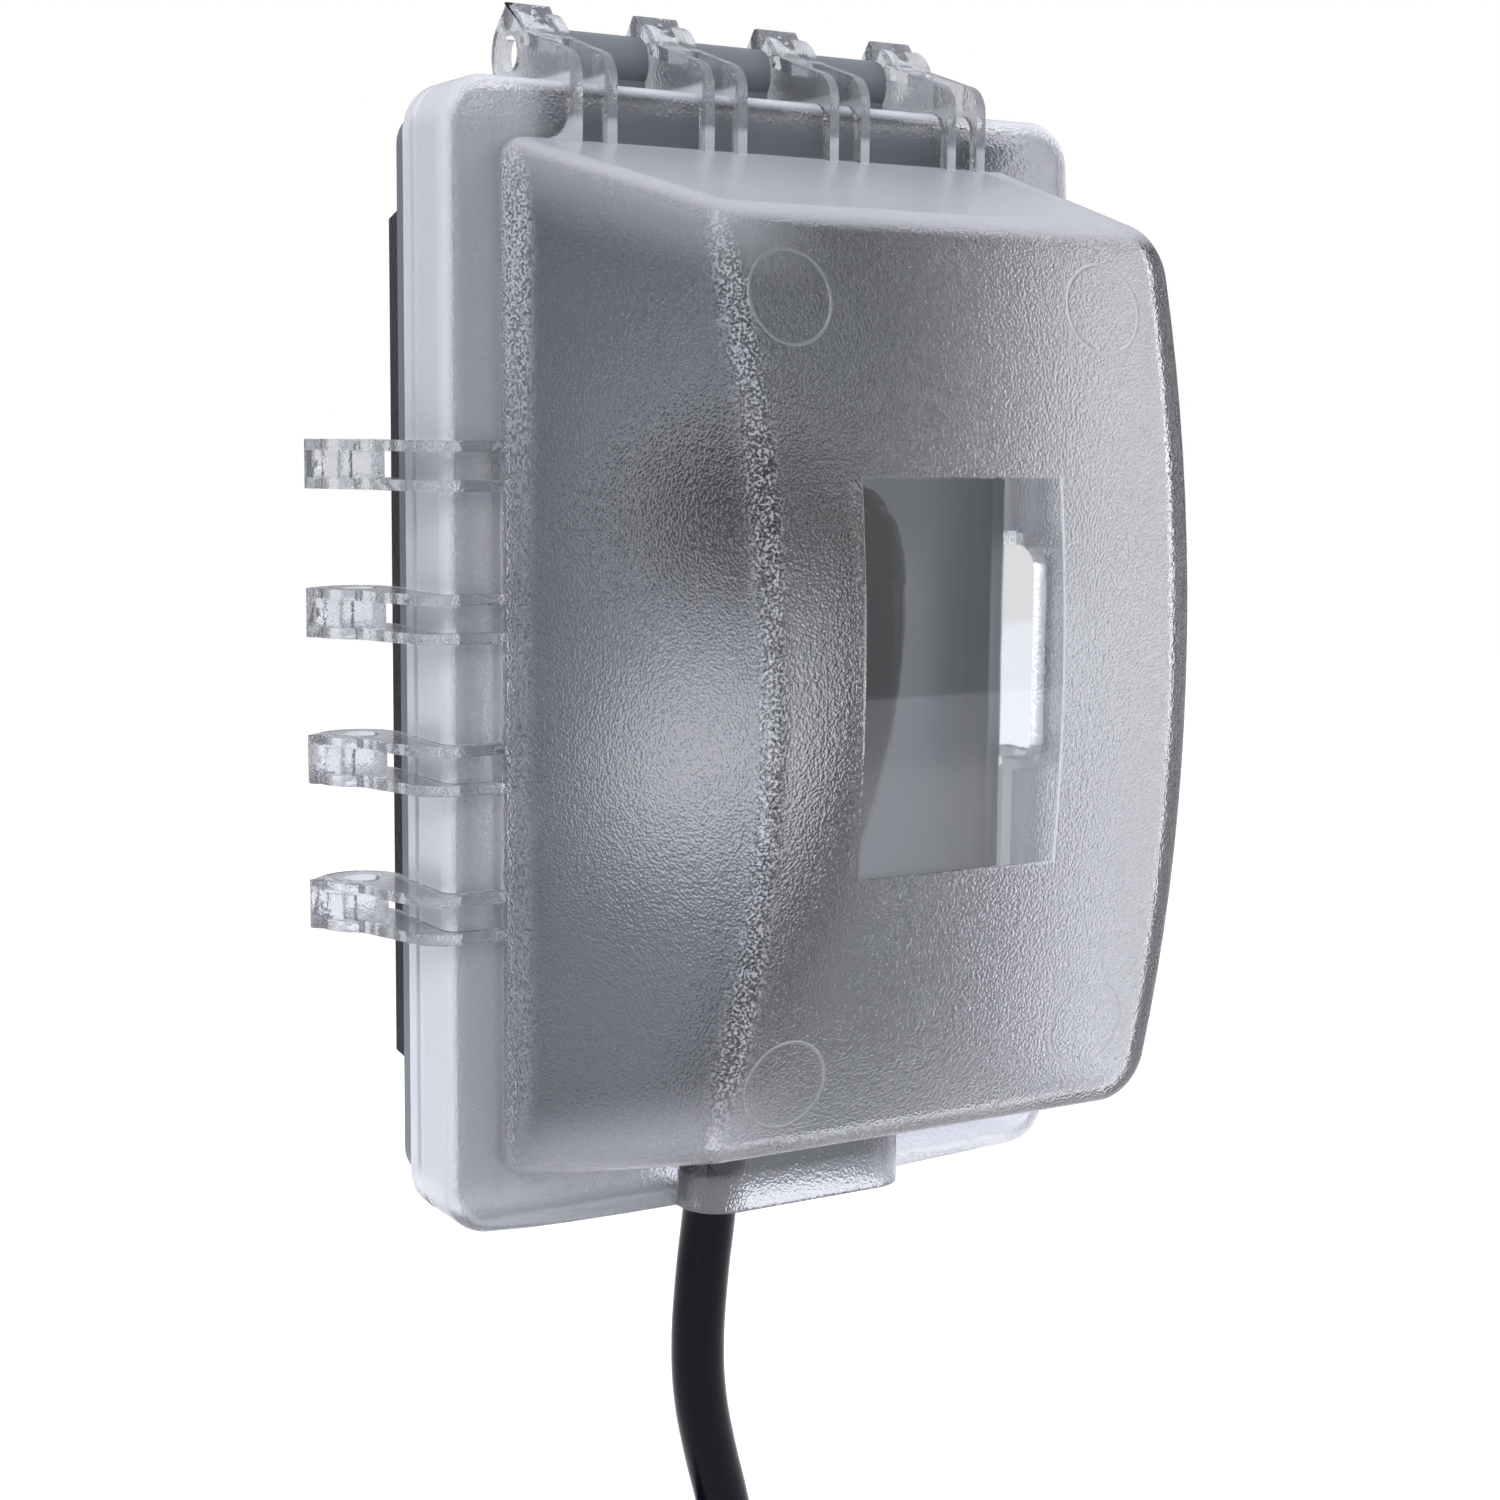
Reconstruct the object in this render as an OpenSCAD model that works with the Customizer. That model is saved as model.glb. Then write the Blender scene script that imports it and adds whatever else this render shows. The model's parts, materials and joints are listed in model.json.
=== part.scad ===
// In-use cover for an outdoor wall outlet, one gang, closed, with a cord plugged in.
// X runs to the right, Y into the wall, Z up. The wall is the plane Y = 0 and all of the cover is in front of it.
// The origin is the middle of the two box screws, on the wall.

/* [Lid] */
// Width of the lid over its flange
lid_w = 104.6; // [90:0.2:125]
// Height of the lid over its flange
lid_h = 160; // [140:1:190]
// Height of the lid's middle over the box's middle
lid_mid_z = -2; // [-6:0.5:6]
// Distance from the wall to the back edge of the lid's skirt
lid_back = 12; // [9:0.5:20]
// Depth of the skirt
skirt_d = 14; // [8:0.5:22]
// Wall of the lid
lid_wall = 2.2; // [1.5:0.1:4]
// Radius of the flange's corners
lid_corner_r = 7; // [3:0.5:15]
// Width of the groove round the skirt
groove_w = 1.4; // [0.6:0.1:3]
// Depth of the groove round the skirt
groove_d = 0.5; // [0.2:0.1:1]
// Distance from the skirt's back edge to the groove
groove_at = 2.5; // [1.5:0.1:6]

/* [Dome] */
// Flange left free above the dome
dome_top_gap = 8; // [4:0.5:20]
// Flange left free below the dome
dome_bottom_gap = 8; // [4:0.5:20]
// Flange left free to the left of the dome
dome_left_gap = 7.9; // [4:0.1:20]
// Flange left free to the right of the dome
dome_right_gap = 8.5; // [4:0.1:20]
// Height of the front panel's ends over the flange
panel_end_d = 32; // [15:0.5:60]
// Further rise of the front panel at its middle
panel_bulge = 8.8; // [2:0.2:20]
// Angle of the top wall's draft
top_draft = 18; // [2:0.5:35]
// Angle of the bottom wall's draft
bottom_draft = 14.5; // [2:0.5:35]
// Angle of the left wall's slope
left_slope = 25.6; // [5:0.2:45]
// Height of the upright foot of the left wall
left_step = 2; // [0.5:0.5:6]
// Radius of the dome's right-hand corners
dome_corner_r = 6; // [2:0.5:15]

/* [Cord hoods] */
// Width of a cord hood
hood_w = 36.6; // [20:0.2:60]
// Distance that a hood stands out of the flange
hood_d = 7.6; // [5:0.2:20]
// Radius of a hood's corners
hood_r = 6; // [2:0.5:12]
// Wall of a hood
hood_wall = 1.8; // [1:0.1:4]
// Sideways place of the bottom hood's middle
hood_x = 2; // [-15:0.5:15]
// Height of the right hood's middle
hood_z = -2.6; // [-15:0.2:15]

/* [Hinge] */
// Distance from the wall to the hinge axis
axis_y = 8; // [6:0.2:14]
// Distance from the lid's edge out to the hinge axis
axis_out = 5.4; // [4:0.2:9]
// Distance between hinge fingers
finger_pitch = 20.6; // [16:0.1:26]
// Number of hinge fingers on each edge
finger_n = 4; // [3:1:5]
// Width of a finger over its two cheeks
finger_w = 6.8; // [5:0.1:10]
// Thickness of a cheek
cheek_t = 1.5; // [1:0.1:2.5]
// Radius of the round end of a cheek
finger_r = 5.9; // [4.5:0.1:8]
// Height of the middle of the left fingers over the box's middle
left_fingers_z = -5; // [-12:0.5:12]
// Radius of a stub of the hinge bar
stub_r = 2.2; // [1.2:0.1:3]
// Running clearance round a stub
stub_gap = 0.3; // [0.1:0.05:0.6]
// Radius of a hinge barrel
barrel_r = 4; // [3:0.1:6]
// Clearance at each end of a barrel
barrel_gap = 0.4; // [0.2:0.05:1]
// Thickness of the hinge bar
bar_t = 1.5; // [1:0.1:3]
// Thickness of the web that carries a barrel
web_t = 6; // [3:0.5:8]
// Radius of the hinge bar's screws
bar_screw_r = 1.5; // [1:0.1:2.5]
// Distance of the hinge bar's screws from the middle
bar_screw_x = 20.6; // [10:0.2:40]

/* [Base and gasket] */
// Clearance between the base and the lid's skirt
base_gap = 0.6; // [0.3:0.1:1.5]
// Thickness of the gasket
gasket_t = 3; // [1.5:0.5:6]
// Distance that the gasket's sides lie inside the base's
gasket_in_x = 0.1; // [0:0.1:15]
// Width of the gasket above and below its opening
gasket_band = 8.8; // [3:0.2:20]
// Chamfer on the gasket's corners
gasket_chamfer = 3.5; // [1:0.5:10]
// Width of the gasket's opening
gasket_open_w = 60; // [50:1:75]
// Clearance between the mounting strap's ends and the gasket's opening
gasket_room = 2.5; // [1:0.1:5]
// Thickness of the base's floor
floor_t = 3.5; // [2:0.5:5]
// Thickness of the base's walls
base_wall = 2.5; // [1.5:0.1:4]
// Distance that the base's rim reaches into the lid
rim_in = 1.5; // [0.5:0.5:6]
// Width of the base's opening
open_w = 42; // [34:0.5:50]
// Distance from a box screw's axis to the base's opening
open_edge = 6.15; // [4.5:0.05:7.5]
// Width of the ledge round the opening
ledge = 2.3; // [1:0.1:4]
// Depth of the ledge
ledge_d = 1.5; // [0.8:0.1:2.5]
// Radius of the blind knockouts in the base's floor
knockout_r = 3.4; // [2:0.1:5]
// Sideways distance between the knockouts
knockout_w = 66; // [50:0.5:80]
// Height between the knockouts
knockout_h = 98; // [60:0.5:120]

/* [Outlet] */
// Distance between the two box screws
box_screw_pitch = 83.3; // [80:0.1:90]
// Radius of a box screw's thread
box_screw_r = 1.75; // [1.5:0.05:2.5]
// Radius of a box screw's neck between its head and its thread
box_neck_r = 1.5; // [1.2:0.05:1.8]
// Length of a box screw under its head
box_screw_l = 20; // [12:1:32]
// Distance from a box screw's axis to the middle of the outlet beside it
outlet_edge = 22.6; // [21.5:0.1:23.5]
// Radius of an outlet's face
outlet_r = 17.2; // [16:0.1:18]
// Height of the bridge between the two outlets' faces
bridge_h = 9.5; // [7:0.1:11]
// Distance from the wall to the outlets' faces
outlet_y = 9; // [7:0.5:12]
// Width of the outlet's back body
back_w = 33; // [28:0.5:36]
// Distance from a box screw's axis to the outlet's back body
back_edge = 8.15; // [6:0.05:10]
// Depth of the outlet's back body behind the wall
back_d = 25; // [18:0.5:35]
// Radius of the hole for a plug's ground pin
ground_hole_r = 2.7; // [2.5:0.05:3]
// Thickness of the mounting strap
strap_t = 1.2; // [0.8:0.1:2]
// Width of the mounting strap
strap_w = 19; // [15:0.5:25]
// Distance that the mounting strap reaches past a box screw's axis
strap_end = 10.85; // [9:0.05:12]
// Width of the ears at the mounting strap's ends
strap_ear_w = 38; // [30:0.5:42]
// Height of the ears at the mounting strap's ends
strap_ear_h = 12; // [8:0.5:16]
// Height of a side screw's middle over the outlet's middle
side_screw_z = 14; // [11:0.5:16]
// Distance from the wall back to a side screw's axis
side_screw_y = 12; // [9:0.5:16]
// Radius of a side screw's head
side_screw_r = 4; // [3:0.1:5]
// Depth of a side screw's pocket
pocket_d = 3.5; // [2:0.1:5]
// Thickness of the insert plate
insert_t = 2; // [1.2:0.1:3]

/* [Plug and cord] */
// Radius of the plug at its face
plug_r = 14.5; // [12:0.1:17]
// Height of the plug between its flats
plug_h = 25; // [20:0.5:30]
// Radius of the plug's ground pin
ground_pin_r = 2.4; // [2.2:0.05:2.6]
// Length of the plug's body
plug_l = 24; // [18:0.5:32]
// Length of the plug's cord sleeve
sleeve_l = 8; // [5:0.5:15]
// Diameter of the cord
cord_d = 8; // [6:0.1:11]
// Radius of the cord's bend in front of the plug
bend_r = 11.5; // [9:0.5:20]
// Mean radius of the coiled cord
coil_r = 46; // [35:1:80]
// Radius of the bundle of turns in the coil
bundle_r = 10.5; // [8:0.5:16]
// Sideways place of the coil's middle
coil_x = -6; // [-30:1:20]
// Distance from the wall to the coil's middle
coil_y = 14.5; // [14.5:0.5:30]
// Height of the coil's middle
coil_z = -196; // [-260:1:-150]
// Distance from the coil's middle to the connector that hangs beside it
connector_out = 58.5; // [50:0.5:70]
// Distance from the height of the coil's middle down to the connector
connector_drop = 22; // [10:1:60]
// Radius of the connector
connector_r = 14; // [11:0.5:17]
// Length of the connector's body
connector_l = 36; // [25:1:50]

/* [Hidden] */
$fn = 64;
eps = 0.01;
flange_y = -(lid_back + skirt_d);
lid_half_w = lid_w / 2;
lid_top = lid_mid_z + lid_h / 2;
lid_bottom = lid_mid_z - lid_h / 2;
foot_left = -lid_half_w + dome_left_gap;
foot_right = lid_half_w - dome_right_gap;
foot_top = lid_top - dome_top_gap;
foot_bottom = lid_bottom + dome_bottom_gap;
panel_top = foot_top - panel_end_d * tan(top_draft);
panel_bottom = foot_bottom + panel_end_d * tan(bottom_draft);
panel_mid = (panel_top + panel_bottom) / 2;
panel_half = (panel_top - panel_bottom) / 2;
panel_r = (panel_half * panel_half + panel_bulge * panel_bulge) / (2 * panel_bulge);
panel_front = flange_y - panel_end_d - panel_bulge;
axis_z = lid_top + axis_out;
axis_x = -lid_half_w - axis_out;
fingers_first = -finger_pitch * (finger_n - 1) / 2;
base_half_w = lid_half_w - lid_wall - base_gap;
base_half_h = lid_h / 2 - lid_wall - base_gap;
gasket_w = 2 * (base_half_w - gasket_in_x);
base_front = -(lid_back + rim_in);
floor_front = -(gasket_t + floor_t);
insert_back = floor_front + ledge_d - 0.1;
insert_front = insert_back - insert_t;
barrel_l = finger_pitch - finger_w - 2 * barrel_gap;
open_h = box_screw_pitch - 2 * open_edge;
outlet_z = box_screw_pitch / 2 - outlet_edge;
outlet_h = 2 * outlet_z - bridge_h;
back_h = box_screw_pitch - 2 * back_edge;
strap_h = box_screw_pitch + 2 * strap_end;
gasket_open_h = strap_h + 2 * gasket_room;
gasket_h = gasket_open_h + 2 * gasket_band;
bar_head_r = bar_screw_r + 1;
bar_head_t = 1.6;
bar_screw_tip = 3.5;
plate_head_r = 2.9;
plate_screw_end = 6;
box_head_r = 3.3;
ground_hole_y = 6.2;
plug_face = -(outlet_y + 0.4);
plug_end = plug_face - plug_l;
sleeve_end = plug_end - sleeve_l;
cord_r = cord_d / 2;
ground_x = -5.5;
ground_z = back_h / 2 + 3.6;
hang_x = -10;
hang_y = -24;

module round_rect(w, h, r) {
    square([w - 2 * r, h], center = true);
    square([w, h - 2 * r], center = true);
    for (sx = [-1, 1]) {
        for (sz = [-1, 1]) {
            translate([sx * (w / 2 - r), sz * (h / 2 - r)]) circle(r);
        }
    }
}

// A flat shape drawn in X and Z, given a thickness from y_front back to y_back.
module plate_y(y_front, y_back) {
    translate([0, y_back, 0]) rotate([90, 0, 0]) linear_extrude(height = y_back - y_front) children();
}

module rod_y(r, y_front, y_back, x, z) {
    translate([x, y_back, z]) rotate([90, 0, 0]) cylinder(h = y_back - y_front, r = r);
}

module rod_x(r, x0, x1, y, z) {
    translate([x0, y, z]) rotate([0, 90, 0]) cylinder(h = x1 - x0, r = r);
}

// A prism that leans back with the dome's top or bottom wall, which is one of its sides. Its right corner is rounded.
module leaning_prism(side, foot, lean, in) {
    r = dome_corner_r - in;
    right = foot_right - in;
    deep = 2 * lid_w;
    translate([0, flange_y, foot]) rotate([90 + side * lean, 0, 0]) translate([0, 0, -deep / 2]) {
        linear_extrude(height = 1.5 * deep) {
            translate([-lid_w, side > 0 ? -deep : in]) square([lid_w + right - r, deep - in]);
            translate([-lid_w, side > 0 ? -deep : in + r]) square([lid_w + right, deep - in - r]);
            translate([right - r, -side * (in + r)]) circle(r);
        }
    }
}

module dome(in, back) {
    slope_x = foot_left + in / cos(left_slope);
    reach = panel_end_d + panel_bulge + left_step;
    intersection() {
        translate([0, panel_front + panel_r, panel_mid]) rotate([0, 90, 0]) {
            cylinder(h = 2 * lid_w, r = panel_r - in, center = true, $fn = 360);
        }
        translate([0, 0, -lid_h]) linear_extrude(height = 2 * lid_h) {
            polygon([
                [foot_left + in, flange_y + reach],
                [foot_left + in, flange_y - left_step + (slope_x - foot_left - in) / tan(left_slope)],
                [slope_x + (reach - left_step) * tan(left_slope), flange_y - reach],
                [lid_w, flange_y - reach],
                [lid_w, flange_y + reach]
            ]);
        }
        translate([-lid_w, flange_y - reach, -lid_h]) cube([2 * lid_w, reach + back, 2 * lid_h]);
        leaning_prism(1, foot_top, top_draft, in);
        leaning_prism(-1, foot_bottom, bottom_draft, in);
    }
}

// Side view of a finger's cheek, X forward of the hinge axis and Y outward from it.
module cheek_shape() {
    front = lid_back + skirt_d + 1.8 - axis_y;
    flange = lid_back + skirt_d - axis_y;
    foot = -axis_out - dome_top_gap - 1.2;
    circle(finger_r);
    translate([front - 4.5, -5.5]) circle(4.5);
    polygon([
        [front, foot],
        [front, -5.5],
        [front - 4.5, -5.5],
        [front - 3.15, -1.2],
        [2.6, 3.2],
        [-0.9, 7.2],
        [-1.7, 7.2],
        [-4.4, 3.95],
        [0, 0],
        [1.8, -5.6],
        [2.5, -axis_out - 0.3],
        [flange - 1, -axis_out - 0.3],
        [flange - 1, foot]
    ]);
}

module block_shape() {
    polygon([
        [8.2, 1.45],
        [2.6, 3.2],
        [-0.9, 7.2],
        [-1.7, 7.2],
        [-4.4, 3.95],
        [-4, 3],
        [2.2, 3],
        [2.8, 1.2],
        [8.2, -0.6]
    ]);
}

module finger() {
    difference() {
        union() {
            for (s = [-1, 1]) {
                translate([0, 0, s * (finger_w - cheek_t) / 2]) linear_extrude(height = cheek_t, center = true) {
                    cheek_shape();
                }
            }
            linear_extrude(height = finger_w - 0.2, center = true) block_shape();
        }
        cylinder(h = 3 * finger_w, r = stub_r + stub_gap, center = true);
        translate([1.4, 6.6, 0]) sphere(r = 1.6);
    }
}

module top_fingers() {
    for (i = [0 : finger_n - 1]) {
        translate([fingers_first + i * finger_pitch, -axis_y, axis_z]) rotate([90, 0, -90]) finger();
    }
}

module left_fingers() {
    for (i = [0 : finger_n - 1]) {
        translate([axis_x, -axis_y, left_fingers_z + fingers_first + i * finger_pitch]) rotate([180, 0, -90]) finger();
    }
}

// Plan of a cord hood, X along the lid's edge and Y out of the flange.
module hood_plan(in) {
    w = hood_w - 2 * in;
    d = hood_d - in;
    r = hood_r - in;
    translate([-w / 2, -8]) square([w, 8 + d - r]);
    translate([-w / 2 + r, -8]) square([w - 2 * r, 8 + d]);
    for (s = [-1, 1]) {
        translate([s * (w / 2 - r), d - r]) circle(r);
    }
}

// The hood's body, Z outward across the flange with the lid's edge at 0.
module hood(in, reach, out) {
    translate([0, 0, -reach]) linear_extrude(height = reach + out) hood_plan(in);
}

// The slot under a hood runs on through the skirt's wall, so that the lid opens past a cord.
module hood_slot() {
    w = hood_w - 2 * hood_wall;
    translate([-w / 2, -skirt_d - 1, -lid_wall - 4]) cube([w, skirt_d + 1.5, lid_wall + 8]);
}

module at_bottom() {
    translate([hood_x, flange_y, lid_bottom]) rotate([180, 0, 0]) children();
}

module at_right() {
    translate([lid_half_w, flange_y, hood_z]) rotate([180, -90, 0]) children();
}

module lid() {
    color([0.82, 0.84, 0.86, 0.55]) difference() {
        union() {
            difference() {
                translate([0, 0, lid_mid_z]) plate_y(flange_y, -lid_back) round_rect(lid_w, lid_h, lid_corner_r);
                difference() {
                    translate([0, 0, lid_mid_z]) plate_y(-lid_back - groove_at - groove_w, -lid_back - groove_at) {
                        round_rect(lid_w + 4, lid_h + 4, lid_corner_r + 2);
                    }
                    translate([0, 0, lid_mid_z]) plate_y(-lid_back - 8, -lid_back) {
                        round_rect(lid_w - 2 * groove_d, lid_h - 2 * groove_d, lid_corner_r - groove_d);
                    }
                }
            }
            dome(0, 1);
            at_bottom() hood(0, dome_bottom_gap + 2.2, 0);
            at_right() hood(0, dome_right_gap + 1, 0);
            top_fingers();
            left_fingers();
        }
        translate([0, 0, lid_mid_z]) plate_y(flange_y + lid_wall, 1) {
            round_rect(lid_w - 2 * lid_wall, lid_h - 2 * lid_wall, lid_corner_r - lid_wall);
        }
        dome(lid_wall, lid_wall + 1);
        at_bottom() hood(hood_wall, dome_bottom_gap + 5.5, 5);
        at_right() hood(hood_wall, dome_right_gap + 3, 5);
        at_bottom() hood_slot();
        at_right() hood_slot();
    }
}

module base() {
    color([0.43, 0.45, 0.47]) difference() {
        translate([0, 0, lid_mid_z]) plate_y(base_front, -gasket_t) {
            round_rect(2 * base_half_w, 2 * base_half_h, lid_corner_r - lid_wall);
        }
        translate([0, 0, lid_mid_z]) plate_y(base_front - 1, floor_front) {
            round_rect(2 * (base_half_w - base_wall), 2 * (base_half_h - base_wall), 3);
        }
        plate_y(-20, 1) round_rect(open_w, open_h, 3);
        plate_y(floor_front - 1, floor_front + ledge_d) round_rect(open_w + 2 * ledge, open_h + 2 * ledge, 4);
        for (s = [-1, 1]) {
            rod_y(box_screw_r + 0.35, -20, 1, 0, s * box_screw_pitch / 2);
            translate([s * bar_screw_x, -axis_y, lid_mid_z + base_half_h - base_wall - 3]) {
                cylinder(h = 12, r = bar_screw_r + 0.3);
                translate([0, 0, -1.5]) cylinder(h = 4.5, r = bar_head_r + 0.4);
            }
            for (t = [-1, 1]) {
                rod_y(knockout_r, floor_front - 1, floor_front + 1.2, s * knockout_w / 2, t * knockout_h / 2);
            }
        }
    }
}

module gasket() {
    c = gasket_chamfer;
    w = gasket_w / 2;
    h = gasket_h / 2;
    color([0.12, 0.12, 0.13]) plate_y(-gasket_t, 0) difference() {
        polygon([
            [-w + c, -h],
            [w - c, -h],
            [w, -h + c],
            [w, h - c],
            [w - c, h],
            [-w + c, h],
            [-w, h - c],
            [-w, -h + c]
        ]);
        round_rect(gasket_open_w, gasket_open_h, 4);
    }
}

module hinge_bar() {
    foot = lid_mid_z + base_half_h;
    half = finger_pitch * (finger_n - 1) / 2 + 6;
    color([0.43, 0.45, 0.47]) difference() {
        union() {
            translate([-half, -lid_back + 0.5, foot]) cube([2 * half, lid_back - 0.5 - gasket_t - 0.5, bar_t]);
            for (i = [0 : finger_n - 2]) {
                mid = fingers_first + (i + 0.5) * finger_pitch;
                rod_x(barrel_r, mid - barrel_l / 2, mid + barrel_l / 2, -axis_y, axis_z);
                reach = barrel_l / 2 + barrel_gap + cheek_t;
                rod_x(stub_r, mid - reach, mid + reach, -axis_y, axis_z);
                translate([mid - barrel_l / 2, -axis_y - web_t / 2, foot]) cube([barrel_l, web_t, axis_z - foot]);
            }
        }
        for (s = [-1, 1]) {
            translate([s * bar_screw_x, -axis_y, foot - 1]) {
                cylinder(h = bar_t + bar_screw_tip + 1.3, r = bar_screw_r + 0.1);
            }
        }
    }
}

module hinge_screws() {
    foot = lid_mid_z + base_half_h;
    color([0.72, 0.73, 0.75]) for (s = [-1, 1]) {
        translate([s * bar_screw_x, -axis_y, foot - base_wall]) {
            cylinder(h = base_wall + bar_t + bar_screw_tip, r = bar_screw_r);
        }
        difference() {
            translate([s * bar_screw_x, -axis_y, foot - base_wall - bar_head_t]) {
                cylinder(h = bar_head_t, r = bar_head_r);
            }
            translate([s * bar_screw_x - 0.4, -axis_y - bar_head_r - 1, foot - base_wall - bar_head_t - 1]) {
                cube([0.8, 2 * bar_head_r + 2, 1.8]);
            }
        }
    }
}

module outlet_outline(gap) {
    intersection() {
        circle(outlet_r + gap);
        square([4 * outlet_r, outlet_h + 2 * gap], center = true);
    }
}

module insert_plate() {
    color([0.47, 0.49, 0.51]) plate_y(insert_front, insert_back) difference() {
        round_rect(open_w + 2 * ledge - 0.6, open_h + 2 * ledge - 0.6, 3.7);
        for (s = [-1, 1]) {
            translate([0, s * outlet_z]) outlet_outline(0.4);
        }
        circle(1.9);
    }
}

module plate_screw() {
    color([0.75, 0.76, 0.78]) difference() {
        union() {
            rod_y(1.5, insert_front - 1, plate_screw_end, 0, 0);
            rod_y(plate_head_r, insert_front - 1.4, insert_front - 0.02, 0, 0);
        }
        translate([-plate_head_r - 1, insert_front - 2.4, -0.4]) cube([2 * plate_head_r + 2, 1.8, 0.8]);
    }
}

module box_screws() {
    color([0.75, 0.76, 0.78]) for (s = [-1, 1]) {
        z = s * box_screw_pitch / 2;
        difference() {
            union() {
                rod_y(box_screw_r, 0, floor_front + box_screw_l, 0, z);
                rod_y(box_neck_r, floor_front - 1, 1, 0, z);
                rod_y(box_head_r, floor_front - 1.8, floor_front - 0.02, 0, z);
            }
            translate([-box_head_r - 1, floor_front - 2.8, z - 0.45]) cube([2 * box_head_r + 2, 1.9, 0.9]);
        }
    }
}

module blade_slots(grow) {
    for (s = [-1, 1]) {
        translate([s * 6.35, 3.2]) square([1.5 + 2 * grow, 6.6 + 2 * grow], center = true);
    }
}

module outlet_face() {
    color([0.93, 0.93, 0.91]) difference() {
        union() {
            for (s = [-1, 1]) {
                translate([0, 0, s * outlet_z]) plate_y(-outlet_y, -strap_t) outlet_outline(0);
            }
            plate_y(-outlet_y + 4, -strap_t) difference() {
                square([1.4 * outlet_r, 2 * outlet_z], center = true);
                circle(2.2);
            }
        }
        for (s = [-1, 1]) {
            translate([0, 0, s * outlet_z]) plate_y(-outlet_y - 1, 2) {
                blade_slots(0.4);
                translate([0, -ground_hole_y]) circle(ground_hole_r);
            }
        }
    }
}

module outlet_back() {
    color([0.9, 0.9, 0.88]) difference() {
        plate_y(0, back_d) round_rect(back_w, back_h, 3);
        rod_y(2.2, -1, 8, 0, 0);
        for (s = [-1, 1]) {
            translate([0, 0, s * outlet_z]) plate_y(-1, 18) {
                blade_slots(0.4);
                translate([0, -ground_hole_y]) circle(ground_hole_r);
            }
            for (t = [-1, 1]) {
                translate([t * back_w / 2, side_screw_y, s * side_screw_z]) {
                    cube([2 * pocket_d, 2 * side_screw_r + 2, 2 * side_screw_r + 2], center = true);
                }
            }
            translate([s * back_w / 2, side_screw_y + 3, 0]) cube([2 * pocket_d + 2, 6, 4], center = true);
        }
    }
}

module mounting_strap() {
    color([0.7, 0.71, 0.7]) plate_y(-strap_t, 0) difference() {
        union() {
            square([strap_w, strap_h], center = true);
            for (s = [-1, 1]) {
                translate([0, s * (strap_h - strap_ear_h) / 2]) square([strap_ear_w, strap_ear_h], center = true);
            }
        }
        for (s = [-1, 1]) {
            translate([0, s * box_screw_pitch / 2]) circle(box_screw_r + 0.4);
            translate([0, s * outlet_z]) blade_slots(0.6);
            translate([0, s * outlet_z - ground_hole_y]) circle(3.2);
            for (t = [-1, 1]) {
                translate([t * (strap_ear_w / 2 - 4.5), s * (strap_h - strap_ear_h) / 2]) circle(1.6);
            }
        }
        circle(1.6);
        translate([ground_x, -ground_z]) circle(1.9);
    }
}

module side_screws(side) {
    for (s = [-1, 1]) {
        translate([side * (back_w / 2 - pocket_d), side_screw_y, s * side_screw_z]) rotate([0, side * 90, 0]) {
            cylinder(h = 3.6, r = 1.8);
            translate([0, 0, 1.6]) cylinder(h = 2, r = side_screw_r);
        }
    }
}

module hot_screws() {
    color([0.78, 0.62, 0.3]) side_screws(1);
}

module neutral_screws() {
    color([0.8, 0.81, 0.82]) side_screws(-1);
}

module ground_screw() {
    color([0.16, 0.42, 0.24]) {
        rod_y(3.2, 0.02, 2.2, ground_x, -ground_z);
        rod_y(1.6, -gasket_t + 0.6, 1, ground_x, -ground_z);
    }
}

module plug_body() {
    color([0.14, 0.15, 0.17]) translate([0, 0, outlet_z]) {
        difference() {
            intersection() {
                union() {
                    rod_y(plug_r, plug_face - 10, plug_face, 0, 0);
                    translate([0, plug_face - 10, 0]) rotate([90, 0, 0]) cylinder(h = plug_l - 10, r1 = plug_r, r2 = 8);
                }
                plate_y(plug_end, plug_face) square([4 * plug_r, plug_h], center = true);
            }
            plate_y(plug_face - 8, plug_face + 1) {
                blade_slots(0.03);
                translate([0, -ground_hole_y]) circle(ground_pin_r + 0.03);
            }
        }
        difference() {
            translate([0, plug_end, 0]) rotate([90, 0, 0]) cylinder(h = sleeve_l, r1 = 7, r2 = 5.4);
            rod_y(cord_r + 0.2, sleeve_end - 1, sleeve_end + 5, 0, 0);
        }
    }
}

module plug_blades() {
    color([0.82, 0.69, 0.38]) translate([0, 0, outlet_z]) plate_y(plug_face - 8, plug_face + 15.5) blade_slots(0);
}

module plug_ground_pin() {
    color([0.82, 0.69, 0.38]) translate([0, 0, outlet_z]) {
        rod_y(ground_pin_r, plug_face - 8, plug_face + 15, 0, -ground_hole_y);
        translate([0, plug_face + 15, -ground_hole_y]) sphere(r = ground_pin_r);
    }
}

// A bent rod that starts at the origin and runs up Z. Each step is a straight [0, length, turn about the rod] or a bend
// [radius, angle, turn about the rod] toward X. A bend is a hair thinner than the straights that it joins.
module bent_rod(steps, r, i = 0) {
    if (i < len(steps)) {
        s = steps[i];
        rotate([0, 0, s[2]]) {
            if (s[0] == 0) {
                translate([0, 0, -0.3]) cylinder(h = s[1] + 0.6, r = r);
                translate([0, 0, s[1]]) bent_rod(steps, r, i + 1);
            } else {
                translate([s[0], 0, 0]) rotate([90, 0, 0]) rotate([0, 0, 180 - s[1]]) {
                    rotate_extrude(angle = s[1]) translate([s[0], 0]) circle(r - 0.02);
                }
                translate([s[0] * (1 - cos(s[1])), 0, s[0] * sin(s[1])]) rotate([0, s[1], 0]) {
                    bent_rod(steps, r, i + 1);
                }
            }
        }
    }
}

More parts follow.
